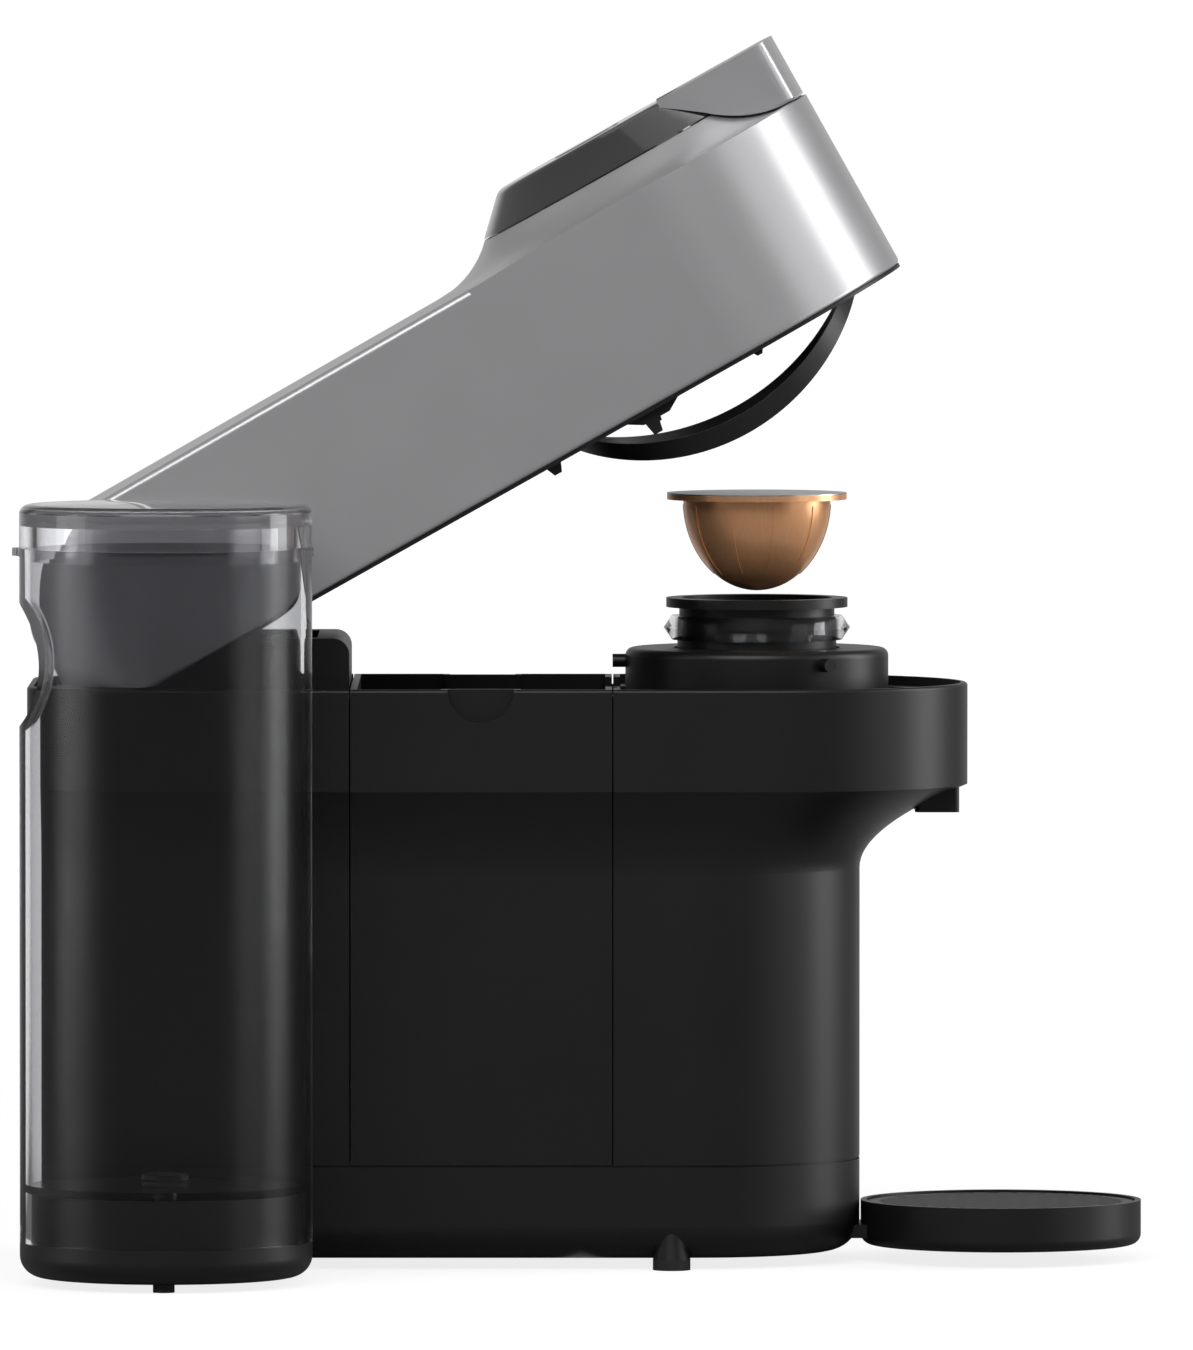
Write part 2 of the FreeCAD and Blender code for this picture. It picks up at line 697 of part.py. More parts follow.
def coffee_pod():
    shell = dome(DOME_R, DOME_DEPTH, POD_Z)
    proud = dome(DOME_R + RIB_OUT, DOME_DEPTH + RIB_OUT, POD_Z)
    room = dome(DOME_R - POD_WALL, DOME_DEPTH - POD_WALL, POD_Z)
    blade = box(0, 2 * DOME_R, -RIB_W / 2, RIB_W / 2, -RIB_BOTTOM, -RIB_TOP)
    turn = 360.0 / RIB_COUNT
    blades = []
    for k in range(RIB_COUNT):
        turned_blade = blade.copy()
        turned_blade.rotate(vec(0, 0, 0), vec(0, 0, 1), RIB_TURN + turn * k)
        blades.append(turned_blade.translated(vec(SPIN_X, 0, POD_Z)))
    ribs = proud.common(Part.makeCompound(blades))
    brim = rod(POD_R, POD_Z, POD_Z + POD_FLANGE_H - FOIL_H, SPIN_X)
    mouth = rod(DOME_R - POD_WALL, POD_Z, POD_Z + POD_FLANGE_H, SPIN_X)
    return shell.multiFuse([brim] + ribs.Solids).cut(room).cut(mouth)


def pod_foil():
    top = POD_Z + POD_FLANGE_H
    return rod(POD_R, top - FOIL_H, top, SPIN_X)


def ground_coffee():
    wall = POD_WALL + SCREW_FIT
    heap = rod(DOME_R - wall, POD_Z, POD_Z + POD_FLANGE_H - FOIL_H, SPIN_X)
    return dome(DOME_R - wall, DOME_DEPTH - wall, POD_Z).fuse(heap)


def cup_tray():
    r = TRAY_R
    inner = r - TRAY_WALL
    floor = TRAY_Z + TRAY_WALL
    bend = TRAY_ROUND * (1 - math.sqrt(0.5))
    ledge = inner - TRAY_WALL
    grid_z = TRAY_TOP - GRID_DROP - GRID_H - TANK_SEAT
    dish = turned([
        (0, TRAY_Z),
        (r - TRAY_ROUND, TRAY_Z),
        (r - bend, TRAY_Z + bend, r, TRAY_Z + TRAY_ROUND),
        (r, TRAY_TOP),
        (inner, TRAY_TOP),
        (inner, grid_z),
        (ledge, grid_z),
        (ledge, floor),
        (0, floor),
    ], TRAY_X)
    tongue = box(
        WAIST_FRONT - TONGUE_LENGTH, TRAY_X - ledge,
        -TONGUE_HALF, TONGUE_HALF, TONGUE_Z, TONGUE_Z + TONGUE_H,
    )
    return dish.fuse(tongue.cut(rod(ledge, TRAY_Z, TRAY_TOP, TRAY_X)))


def drip_grid():
    radius = TRAY_R - TRAY_WALL - TANK_FIT
    top = TRAY_TOP - GRID_DROP
    disc = rod(radius, top - GRID_H, top)
    field = radius - 2 * TRAY_WALL
    pitch = GRID_BAR + GRID_GAP
    count = int(2 * field / pitch)
    first = -(count - 1) * pitch / 2
    slots = []
    for k in range(count):
        y = first + k * pitch
        half = math.sqrt(field ** 2 - y ** 2)
        slots.append(box(-half, half, y - GRID_GAP / 2, y + GRID_GAP / 2, top - GRID_H, top))
    grid = disc.cut(Part.makeCompound(slots))
    grid.rotate(vec(0, 0, 0), vec(0, 0, 1), GRID_TURN)
    return grid.translated(vec(TRAY_X, 0, 0))


def water_tank():
    inner = TANK_R - TANK_WALL
    top = TANK_TOP + TANK_RIM_H
    floor_top = TANK_FLOOR_Z + TANK_FLOOR_H
    wall = rod(TANK_R, TANK_SKIRT_Z + TANK_SEAT, TANK_TOP, TANK_X, TANK_Y)
    rim = rod(TANK_R + TANK_RIM_OUT, TANK_TOP, top, TANK_X, TANK_Y)
    back = TANK_X - TANK_R
    lip = sheet([(back + TANK_WALL, TANK_TOP), (back - LIP_OUT, TANK_TOP), (back - LIP_OUT, top),
                 (back + TANK_WALL, top)], TANK_Y - LIP_HALF, TANK_Y + LIP_HALF)
    point = Part.makePolygon([
        vec(back - LIP_OUT, TANK_Y, TANK_TOP),
        vec(back + TANK_WALL, TANK_Y - LIP_HALF, TANK_TOP),
        vec(back + TANK_WALL, TANK_Y + LIP_HALF, TANK_TOP),
        vec(back - LIP_OUT, TANK_Y, TANK_TOP),
    ])
    spout = lip.common(prism(point, TANK_RIM_H))
    scoop_x = back + SCOOP_DEPTH - SCOOP_R
    y0 = TANK_Y - TANK_R
    y1 = TANK_Y + TANK_R
    bulge = cross_rod(SCOOP_R + TANK_WALL, y0, y1, scoop_x, SCOOP_Z)
    room = rod(inner, floor_top, top, TANK_X, TANK_Y).cut(bulge)
    foot = rod(inner, TANK_SKIRT_Z, TANK_FLOOR_Z, TANK_X, TANK_Y)
    tank = wall.multiFuse([rim, spout]).cut(cross_rod(SCOOP_R, y0, y1, scoop_x, SCOOP_Z))
    return tank.cut(room).cut(foot).cut(rod(VALVE_HOLE_R, TANK_FLOOR_Z, floor_top, TANK_X, TANK_Y))


def tank_lid():
    z0 = TANK_TOP + TANK_RIM_H + TANK_SEAT
    top = z0 + LID_H
    plug = TANK_R - TANK_WALL - TANK_FIT
    bend = LID_ROUND * (1 - math.sqrt(0.5))
    inner = plug - TANK_WALL / 2
    return turned([
        (0, top),
        (TANK_R - LID_ROUND, top - LID_ROUND / 4),
        (TANK_R - bend, top - LID_ROUND / 4 - bend, TANK_R, top - LID_ROUND),
        (TANK_R, z0),
        (plug, z0),
        (plug, z0 - LID_PLUG_H),
        (inner, z0 - LID_PLUG_H),
        (inner, top - LID_ROUND - LID_TOP_H),
        (0, top - LID_ROUND - LID_TOP_H),
    ], TANK_X, TANK_Y)


def valve_seal():
    z = TANK_FLOOR_Z + TANK_FLOOR_H
    return tube(VALVE_R, VALVE_HOLE_R, z, z + SEAL_H, TANK_X, TANK_Y)


def valve_foot():
    """Lower end of the valve stem, just over the probe that holds the valve open."""
    return TANK_FLOOR_Z - TANK_FLOOR_H


def tank_valve():
    disc_z = TANK_FLOOR_Z + TANK_FLOOR_H + SEAL_H + POD_PLAY
    stem = rod(VALVE_STEM_R, valve_foot(), disc_z, TANK_X, TANK_Y)
    return stem.fuse(rod(VALVE_R, disc_z, disc_z + VALVE_H, TANK_X, TANK_Y))


def bridge_z():
    """Height of the water channel from the tank base into the body."""
    return TANK_SKIRT_Z - SEAM - BRIDGE_H / 2


def tank_base_solid():
    r = TANK_R
    bend = TANK_BASE_ROUND * (1 - math.sqrt(0.5))
    plinth = r - TANK_WALL - TANK_FIT
    return turned([
        (0, TANK_FOOT_H),
        (r - TANK_BASE_ROUND, TANK_FOOT_H),
        (r - bend, TANK_FOOT_H + bend, r, TANK_FOOT_H + TANK_BASE_ROUND),
        (r, TANK_SKIRT_Z),
        (plinth, TANK_SKIRT_Z),
        (plinth, TANK_FLOOR_Z - SLIP),
        (0, TANK_FLOOR_Z - SLIP),
    ], TANK_X, TANK_Y)


def tank_base():
    well_z = TANK_FLOOR_Z - 2 * TANK_FLOOR_H - VALVE_H
    well = rod(VALVE_R, well_z, TANK_FLOOR_Z, TANK_X, TANK_Y)
    probe = rod(PROBE_R + SCREW_FIT, bridge_z(), well_z, TANK_X, TANK_Y)
    channel = Part.makeCylinder(HOSE_R + SLIP, TANK_R, vec(TANK_X, TANK_Y, bridge_z()), vec(0, 1, 0))
    return tank_base_solid().cut(well).cut(probe).cut(channel)


def tank_probe():
    z0 = bridge_z() + HOSE_R
    return tube(PROBE_R, PROBE_BORE, z0, valve_foot() - SLIP, TANK_X, TANK_Y)


def tank_feet():
    ring = TANK_R - TANK_BASE_ROUND - TANK_FOOT_R
    feet = []
    for k in range(TANK_FOOT_COUNT):
        angle = math.radians(360.0 * k / TANK_FOOT_COUNT - 90)
        x = TANK_X + ring * math.cos(angle)
        y = TANK_Y + ring * math.sin(angle)
        feet.append(rod(TANK_FOOT_R, 0, TANK_FOOT_H, x, y))
    return Part.makeCompound(feet)


def tank_bridge():
    """Short link at floor level that ties the tank base to the body and holds the hose."""
    z0 = bridge_z() - BRIDGE_H / 2
    y0 = TANK_Y + TANK_R - BRIDGE_HALF
    y1 = -WAIST_HALF + BASE_ROUND
    link = box(TANK_X - BRIDGE_HALF, TANK_X + BRIDGE_HALF, y0, y1, z0, z0 + BRIDGE_H)
    pan = prism(body_plan(0, 0, FOOT_H), BASE_H)
    pan = pan.makeFillet(BASE_ROUND, level_edges(pan, FOOT_H))
    bore = Part.makeCylinder(HOSE_R + SLIP, -TANK_Y, vec(TANK_X, TANK_Y, bridge_z()), vec(0, 1, 0))
    return link.cut(pan).cut(tank_base_solid()).cut(bore)


def hose(points):
    """Round hose through corner points, with a tangent arc at every corner."""
    here = points[0]
    edges = []
    for k in range(1, len(points) - 1):
        corner = points[k]
        before = (corner - points[k - 1]).normalize()
        after = (points[k + 1] - corner).normalize()
        half_turn = before.getAngle(after) / 2
        back = HOSE_BEND * math.tan(half_turn)
        inward = (after - before).normalize()
        middle = corner + inward * (HOSE_BEND / math.cos(half_turn) - HOSE_BEND)
        edges.append(line(here, corner - before * back))
        edges.append(arc(corner - before * back, middle, corner + after * back))
        here = corner + after * back
    edges.append(line(here, points[-1]))
    path = Part.Wire(edges)
    section = Part.Wire(Part.Circle(points[0], points[1] - points[0], HOSE_R).toShape())
    return path.makePipeShell([section], True, True)


def pump_front():
    return BODY_REAR + PUMP_REAR_MARGIN + PUMP_LENGTH


def suction_hose():
    z = bridge_z()
    return hose([
        vec(TANK_X, TANK_Y + PROBE_R, z),
        vec(TANK_X, PUMP_Y, z),
        vec(TANK_X, PUMP_Y, PUMP_Z - PUMP_R),
    ])


def water_pump():
    start = BODY_REAR + PUMP_REAR_MARGIN
    return Part.makeCylinder(PUMP_R, PUMP_LENGTH, vec(start, PUMP_Y, PUMP_Z), vec(1, 0, 0))


def pump_bracket():
    half = PUMP_R * CRADLE_SHARE
    x1 = pump_front() - BRACKET_LENGTH / 4
    block = box(x1 - BRACKET_LENGTH, x1, PUMP_Y - half, PUMP_Y + half, FLOOR_Z, PUMP_Z)
    return block.cut(water_pump())


def heater_x():
    return pump_front() - HEATER_R - HOSE_BEND


def flow_heater():
    z0 = FLOOR_Z + HEATER_UP
    body = rod(HEATER_R, z0, z0 + HEATER_H, heater_x(), HEATER_Y)
    return body.fuse(rod(HEATER_FOOT_R, FLOOR_Z, z0, heater_x(), HEATER_Y))


def feed_hose():
    top = FLOOR_Z + HEATER_UP + HEATER_H + HOSE_RISE
    x = pump_front() - HOSE_R - SLIP
    return hose([
        vec(x, PUMP_Y, PUMP_Z + PUMP_R),
        vec(x, PUMP_Y, top),
        vec(x, HEATER_Y, top),
        vec(heater_x(), HEATER_Y, top),
        vec(heater_x(), HEATER_Y, top - HOSE_RISE),
    ])


def control_board():
    wall_x = SHELL_REAR_X - WALL
    z0 = FLOOR_Z + HEATER_UP
    board = box(wall_x - STANDOFF - BOARD_T, wall_x - STANDOFF, -BOARD_HALF, BOARD_HALF, z0, z0 + BOARD_H)
    for y in (-BOARD_HALF + STANDOFF, BOARD_HALF - STANDOFF):
        for z in (z0 + STANDOFF, z0 + BOARD_H - STANDOFF):
            foot = Part.makeCylinder(STANDOFF / 2, STANDOFF, vec(wall_x - STANDOFF, y, z), vec(1, 0, 0))
            board = board.fuse(foot)
    return board


def cord_gland():
    z = BASE_TOP + GLAND_UP
    start = vec(BODY_REAR - WALL / 2, 0, z)
    along = vec(1, 0, 0)
    body = Part.makeCylinder(GLAND_R - SCREW_FIT, GLAND_H, start, along)
    return body.cut(Part.makeCylinder(GLAND_BORE, GLAND_H, start, along))


def up(height):
    """Height above the head's underside when the head is closed."""
    return UNDERSIDE_Z + height


def sector(outer, inner, z0, z1, start, sweep):
    """Part of a tube on the brew axis, from a start angle over a sweep."""
    size = z1 - z0
    wedge = Part.makeCylinder(outer, size, vec(0, 0, z0), vec(0, 0, 1), sweep).cut(rod(inner, z0, z1))
    wedge.rotate(vec(0, 0, 0), vec(0, 0, 1), start)
    return wedge.translated(vec(SPIN_X, 0, 0))


def hinge_block():
    rear = HINGE_X - EAR_GAP
    front = SHELL_REAR_X - SLIP
    half = BLOCK_HALF
    bend = BLOCK_ROUND * (1 - math.sqrt(0.5))
    side = [
        (rear, DECK_Z),
        (front, DECK_Z),
        (front, BLOCK_TOP - BLOCK_ROUND),
        (front - bend, BLOCK_TOP - bend, front - BLOCK_ROUND, BLOCK_TOP),
        (rear, BLOCK_TOP),
    ]
    block = sheet(side, -half, half)
    slot_end = front - 2 * BLOCK_ROUND
    slot = box(rear - 1, slot_end, EAR_W - half, half - EAR_W, DECK_Z + WALL, BLOCK_TOP + 1)
    block = block.cut(slot)
    for sign in (-1, 1):
        y = sorted((sign * (half - EAR_W), sign * half))
        ear = cross_rod(HINGE_R, y[0], y[1], HINGE_X, HINGE_Z)
        web = box(rear, HINGE_X + HINGE_R, y[0], y[1], DECK_Z, HINGE_Z)
        panel_y = sorted((sign * (half - SEAM), sign * (half + 1)))
        panel_top = BLOCK_TOP - BLOCK_ROUND
        panel = box(HINGE_X + HINGE_R, front - BLOCK_ROUND, panel_y[0], panel_y[1], DECK_Z, panel_top)
        block = block.multiFuse([ear, web]).cut(panel)
    return block.cut(cross_rod(HINGE_PIN_R + SCREW_FIT, -half - 1, half + 1, HINGE_X, HINGE_Z))


def knuckle_faces():
    inner = BLOCK_HALF + EAR_GAP
    return inner, inner + KNUCKLE_W


def hinge_pin():
    end = knuckle_faces()[1] + PIN_PROUD
    return cross_rod(HINGE_PIN_R, -end, end, HINGE_X, HINGE_Z)


def hinge_bushes():
    inner, outer = knuckle_faces()
    bushes = []
    for y0, y1 in ((inner, outer), (-outer, -inner)):
        bush = cross_rod(HINGE_PIN_R + BUSH_WALL, y0, y1, HINGE_X, HINGE_Z)
        bushes.append(bush.cut(cross_rod(HINGE_PIN_R + HINGE_FIT, y0, y1, HINGE_X, HINGE_Z)))
    return Part.makeCompound(bushes)


def head_plan(inset, z, height):
    wire = plan(HEAD_FRONT - inset, HEAD_REAR + inset, RIM_HALF - inset, CORNER_R - inset, z)
    return prism(wire, height)


def on_head_top(edge):
    """True for the long edges round the sloping top of the head."""
    slope = (HEAD_H_FRONT - HEAD_H_REAR) / (HEAD_FRONT + 1 - HEAD_REAR - TAIL_ROUND)
    ends = [edge.valueAt(edge.FirstParameter), edge.valueAt(edge.LastParameter)]
    heights = [up(HEAD_H_REAR) + slope * (p.x - HEAD_REAR - TAIL_ROUND) for p in ends]
    level = all(abs(p.z - z) < 0.01 for p, z in zip(ends, heights))
    return level and edge.BoundBox.XMax > HEAD_REAR + CORNER_R


def head_solid(inset, bottom):
    """Head without its neck; the tail is cut so that it lies level above the rim when the head is open."""
    rear = HEAD_REAR + inset
    radius = TAIL_R - inset
    turn = math.radians(OPEN_ANGLE)
    tail_z = HINGE_Z + (HINGE_X - rear) * math.tan(turn) - radius / math.cos(turn)
    front = HEAD_FRONT + 1
    bend = TAIL_ROUND * TAIL_BEND
    top = up(HEAD_H_REAR) - inset
    side = [
        (HINGE_X, bottom),
        (front, bottom),
        (front, up(HEAD_H_FRONT) - inset),
        (rear + TAIL_ROUND, top),
        (rear + bend, top - bend, rear, top - TAIL_ROUND),
        (rear, tail_z),
        (HINGE_X - radius * math.sin(turn), HINGE_Z - radius * math.cos(turn)),
        (
            HINGE_X - radius * math.sin(turn / 2), HINGE_Z - radius * math.cos(turn / 2),
            HINGE_X, HINGE_Z - radius,
        ),
    ]
    block = head_plan(inset, bottom, up(HEAD_H_FRONT) - bottom)
    if inset == 0:
        block = block.makeFillet(HEAD_LOWER_ROUND, level_edges(block, bottom))
    head = block.common(sheet(side, -RIM_HALF, RIM_HALF))
    if inset == 0:
        head = head.makeFillet(HEAD_EDGE, [e for e in head.Edges if on_head_top(e)])
    return head


def neck_radius():
    """Radius of the hollow sweep that leaves the head's top level and ends at the crown."""
    rise = NECK_RISE + NECK_SINK
    return ((NECK_FOOT_R - CROWN_R) ** 2 + rise ** 2) / (2 * rise)


def neck_curve(gap):
    """Sweep from the head's top up to the crown, as radius and height steps, raised by a gap."""
    foot = up(HEAD_H_FRONT - NECK_SINK + gap)
    bend = neck_radius()
    half_turn = math.asin((NECK_FOOT_R - CROWN_R) / bend) / 2
    middle_r = NECK_FOOT_R - bend * math.sin(half_turn)
    middle_z = foot + bend - bend * math.cos(half_turn)
    return [
        (NECK_SKIRT_R, foot - NECK_SKIRT_DROP),
        (NECK_FOOT_R, foot),
        (middle_r, middle_z, CROWN_R, up(NECK_TOP + gap)),
    ]


def head_shell():
    low = up(HEAD_H_REAR - 2 * WALL)
    inner_r = CROWN_R - WALL
    foot = [(inner_r, low), (NECK_SKIRT_R, low)]
    neck = turned(foot + neck_curve(0) + [(inner_r, up(NECK_TOP))], SPIN_X)
    neck = neck.common(head_plan(0, low, up(NECK_TOP) - low))
    middle = neck_curve(-2 * WALL)[2]
    throat = turned([
        (0, low - 1),
        (middle[0], low - 1),
        (middle[0], middle[1]),
        (inner_r, up(NECK_TOP - 2 * WALL)),
        (inner_r, up(NECK_TOP + 1)),
        (0, up(NECK_TOP + 1)),
    ], SPIN_X)
    room = head_solid(WALL, UNDERSIDE_Z - 1)
    half = BLOCK_HALF + EAR_GAP
    slot_x = HINGE_X - TAIL_SLOT * TAIL_R
    tail_slot = box(slot_x, HINGE_X + 1, -half, half, UNDERSIDE_Z - 1, HINGE_Z - TAIL_R / 2)
    return head_solid(0, up(TRIM_H)).fuse(neck).cut(room).cut(throat).cut(tail_slot)


def tooth(x0, x1, depth, y):
    """Downward tooth on the underside, tapered along its length."""
    slope = (x1 - x0) / 4
    return sheet([
        (x0, up(0)), (x0 + slope, up(-depth)), (x1 - slope, up(-depth)), (x1, up(0)),
    ], y - TOOTH_W / 2, y + TOOTH_W / 2)


def head_underside():
    """Black floor of the head, with the hinge knuckles and the catch teeth."""
    start = HINGE_X + SEAM
    half = BLOCK_HALF + EAR_GAP
    edge = head_plan(EDGE_INSET, up(0), TRIM_H)
    plate = head_plan(WALL + SLIP, up(0), PLATE_H).fuse(edge)
    plate = plate.common(span(start, HEAD_FRONT, up(0), up(PLATE_H)))
    plate = plate.cut(box(start - 1, SHELL_REAR_X + EAR_W / 2, -half, half, up(-1), up(PLATE_H + 1)))
    plate = plate.cut(rod(RING_OUT + RING_SLOT, up(-1), up(PLATE_H + 1), SPIN_X))
    inner, outer = knuckle_faces()
    for y0, y1 in ((inner, outer), (-outer, -inner)):
        knuckle = cross_rod(HINGE_R, y0, y1, HINGE_X, HINGE_Z)
        web = box(start, HINGE_X + 2 * HINGE_R, y0, y1, up(0), HINGE_Z)
        bore = cross_rod(HINGE_PIN_R + BUSH_WALL + SCREW_FIT, y0, y1, HINGE_X, HINGE_Z)
        plate = plate.multiFuse([knuckle, web]).cut(bore)
    for y in (-TOOTH_Y, TOOTH_Y):
        teeth = []
        for x, length, depth in TEETH:
            middle = SPIN_X + x
            teeth.append(tooth(middle - length / 2, middle + length / 2, depth, y))
        plate = plate.multiFuse(teeth)
    return plate


def post_places():
    rows = ((-POSTS_BACK[0], POSTS_BACK[1]), POSTS_AHEAD)
    return [(x * RING_OUT, side * y * RING_OUT) for x, y in rows for side in (-1, 1)]


def brew_bridge():
    """Plate over the brew chamber that carries the upper bearing, on four posts."""
    z0 = up(BRIDGE_UP)
    z1 = z0 + BRIDGE_PLATE_H
    reach = span(SPIN_X - RING_OUT, SPIN_X + BRIDGE_AHEAD * RING_OUT, z0, z1)
    plate = head_plan(2 * WALL, z0, BRIDGE_PLATE_H).common(reach)
    boss_z = (z0 + z1 - BEARING_H) / 2
    plate = plate.fuse(rod(BEARING_R + CROWN_WALL, boss_z, boss_z + BEARING_H, SPIN_X))
    plate = plate.cut(rod(BEARING_R, boss_z, boss_z + BEARING_H, SPIN_X))
    for x, y in post_places():
        plate = plate.fuse(rod(POST_R, up(PLATE_H), z0, SPIN_X + x, y))
    for start in leg_angles():
        slot_start = start - SLOT_PLAY
        sweep = leg_sweep() + TWIST + 2 * SLOT_PLAY
        plate = plate.cut(sector(LEG_R + LEG_WALL + 1, LEG_R - 1, z0, z1, slot_start, sweep))
    return plate


def leg_sweep():
    return math.degrees(LEG_W / LEG_R)


def leg_angles():
    return [360.0 * k / LEG_COUNT + LEG_TURN for k in range(LEG_COUNT)]


def brew_bearing():
    z = up(BRIDGE_UP) + (BRIDGE_PLATE_H - BEARING_H) / 2
    return tube(BEARING_R - SCREW_FIT, SHAFT_R + SHAFT_FIT, z, z + BEARING_H, SPIN_X)


def brew_face():
    """Height of the brew seal's face, just over a seated pod."""
    return HOLDER_TOP + POD_FLANGE_H + BREW_PLAY


def brew_seal():
    z = brew_face()
    return tube(BREW_PLATE_R, BREW_PLATE_R - SEAL_W, z, z + SEAL_H, SPIN_X)


def brew_plate():
    z = brew_face() + SEAL_H
    bearing_top = up(BRIDGE_UP) + (BRIDGE_PLATE_H + BEARING_H) / 2
    cap_z = bearing_top + SLIP
    disc = rod(BREW_PLATE_R, z, z + BREW_PLATE_H, SPIN_X)
    shaft = rod(SHAFT_R, z, cap_z, SPIN_X)
    cap = rod(SHAFT_R + BUSH_WALL, cap_z, cap_z + BUSH_WALL, SPIN_X)
    return disc.multiFuse([shaft, cap]).cut(rod(NEEDLE_R + SCREW_FIT, z, z + BREW_PLATE_H / 2, SPIN_X))


def brew_needle():
    z = brew_face() + SEAL_H
    tip = Part.makeCone(NEEDLE_TIP_R, NEEDLE_R, SEAL_H - SLIP, vec(SPIN_X, 0, z - SEAL_H + SLIP))
    return tip.fuse(rod(NEEDLE_R, z, z + BREW_PLATE_H / 2, SPIN_X))


def lock_ring():
    """Bayonet ring: a full band in the head, and a bow that hangs below on each side."""
    r = RING_OUT
    z = up(0)
    band = tube(r, RING_IN, z, up(RING_BAND_H), SPIN_X)
    bow = sheet([
        (SPIN_X - r, z),
        (SPIN_X, z - BOW_DROP, SPIN_X + r, z),
        (SPIN_X + r - BOW_BAND, z),
        (SPIN_X, z - BOW_DROP + BOW_BAND, SPIN_X - r + BOW_BAND, z),
    ], -r, r)
    bows = tube(r, RING_IN, z - BOW_DROP, z, SPIN_X).common(bow)
    lug_z = PIN_Z - PIN_R - SLIP
    pieces = list(bows.Solids)
    for angle in PIN_ANGLES:
        start = angle - TWIST - LUG_HALF_ANGLE
        turn = 2 * LUG_HALF_ANGLE
        pieces.append(sector(RING_IN + 1, RING_IN - LUG_IN, lug_z - LUG_H, lug_z, start, turn))
    return band.multiFuse(pieces)


def twist_carrier():
    """Ties the crown to the lock ring through the slots of the bridge."""
    foot_z = up(RING_BAND_H)
    top_z = up(HEAD_H_REAR - WALL)
    foot = tube(RING_OUT, LEG_R, foot_z, foot_z + PLATE_H, SPIN_X)
    head = tube(LEG_R + LEG_WALL, CROWN_R - WALL - 2 * CROWN_WALL, top_z, top_z + PLATE_H, SPIN_X)
    legs = [sector(LEG_R + LEG_WALL, LEG_R, foot_z, top_z, a, leg_sweep()) for a in leg_angles()]
    return foot.multiFuse([head] + legs)


def crown():
    base = up(CROWN_BASE)
    top = up(CROWN_TOP)
    carrier = up(HEAD_H_REAR - WALL) + PLATE_H
    skirt = CROWN_R - WALL - CROWN_GAP
    skirt_in = skirt - CROWN_WALL
    well = BUTTON_R + BUTTON_PLAY
    well_z = top - BUTTON_H - BUTTON_TRAVEL - BUTTON_PLAY
    hole = BUTTON_STEM_R + BUTTON_PLAY
    k = CROWN_ROUND / 2
    return turned([
        (skirt, carrier),
        (skirt, base),
        (CROWN_R, base),
        (CROWN_TOP_R + k, top - k * CROWN_H / (CROWN_R - CROWN_TOP_R)),
        (CROWN_TOP_R, top - k / 3, CROWN_TOP_R - CROWN_ROUND, top),
        (well, top),
        (well, well_z),
        (hole, well_z),
        (hole, well_z - CROWN_WALL),
        (well + CROWN_WALL, well_z - CROWN_WALL),
        (well + CROWN_WALL, top - CROWN_WALL),
        (CROWN_TOP_R - CROWN_WALL, top - CROWN_WALL),
        (skirt_in, base),
        (skirt_in, carrier),
    ], SPIN_X)


def lever_bounds(half):
    reach = rod(LEVER_R, up(0), up(2 * CROWN_TOP), SPIN_X)
    return reach.common(box(SPIN_X, SPIN_X + 2 * LEVER_R, -half, half, up(0), up(2 * CROWN_TOP)))


def lever():
    """Tab at the front of the crown; its underside follows the neck."""
    top = up(CROWN_TOP) + LEVER_PROUD
    slope = CROWN_H / (CROWN_R - CROWN_TOP_R)
    back_z = up(CROWN_BASE) + slope * (CROWN_R - LEVER_BACK_R)
    steps = neck_curve(LEVER_PLAY + LEVER_TRIM_H)
    tab = turned(steps + [(LEVER_BACK_R, back_z), (LEVER_BACK_R, top), (NECK_SKIRT_R, top)], SPIN_X)
    tab = tab.common(lever_bounds(LEVER_HALF))
    corners = [e for e in tab.Edges if e.BoundBox.XLength < SLIP and e.BoundBox.YLength < SLIP
               and e.BoundBox.XMin > SPIN_X + CROWN_R]
    return tab.makeFillet(LEVER_ROUND, corners)


def lever_trim():
    """Thin bright strip under the lever."""
    low = neck_curve(LEVER_PLAY)
    high = neck_curve(LEVER_PLAY + LEVER_TRIM_H - SCREW_FIT)
    back = (CROWN_R, high[2][3])
    sweep = (high[2][0], high[2][1], high[1][0], high[1][1])
    strip = turned(low + [back, sweep, high[0]], SPIN_X)
    return strip.common(lever_bounds(LEVER_HALF - LEVER_ROUND / 2))


def brew_button():
    top = up(CROWN_TOP) + SLIP
    foot = up(CROWN_TOP) - BUTTON_H - BUTTON_TRAVEL - BUTTON_PLAY - 2 * CROWN_WALL
    cap = rod(BUTTON_R, up(CROWN_TOP) - BUTTON_H, top, SPIN_X)
    return cap.fuse(rod(BUTTON_STEM_R, foot, top - BUTTON_H, SPIN_X))


def opened(shape):
    """Head pieces are drawn closed and then swung open about the hinge."""
    swung = shape.copy()
    swung.rotate(vec(HINGE_X, 0, HINGE_Z), vec(0, 1, 0), -OPEN_ANGLE)
    return swung


def place(shape):
    """Moves a piece so that the origin is at the middle of the footprint."""
    rear = TANK_X - TANK_R - LIP_OUT
    front = TRAY_X + TRAY_R
    near = TANK_Y - TANK_R - TANK_RIM_OUT
    return shape.translated(vec(-(rear + front) / 2, -(near + RIM_HALF) / 2, 0))


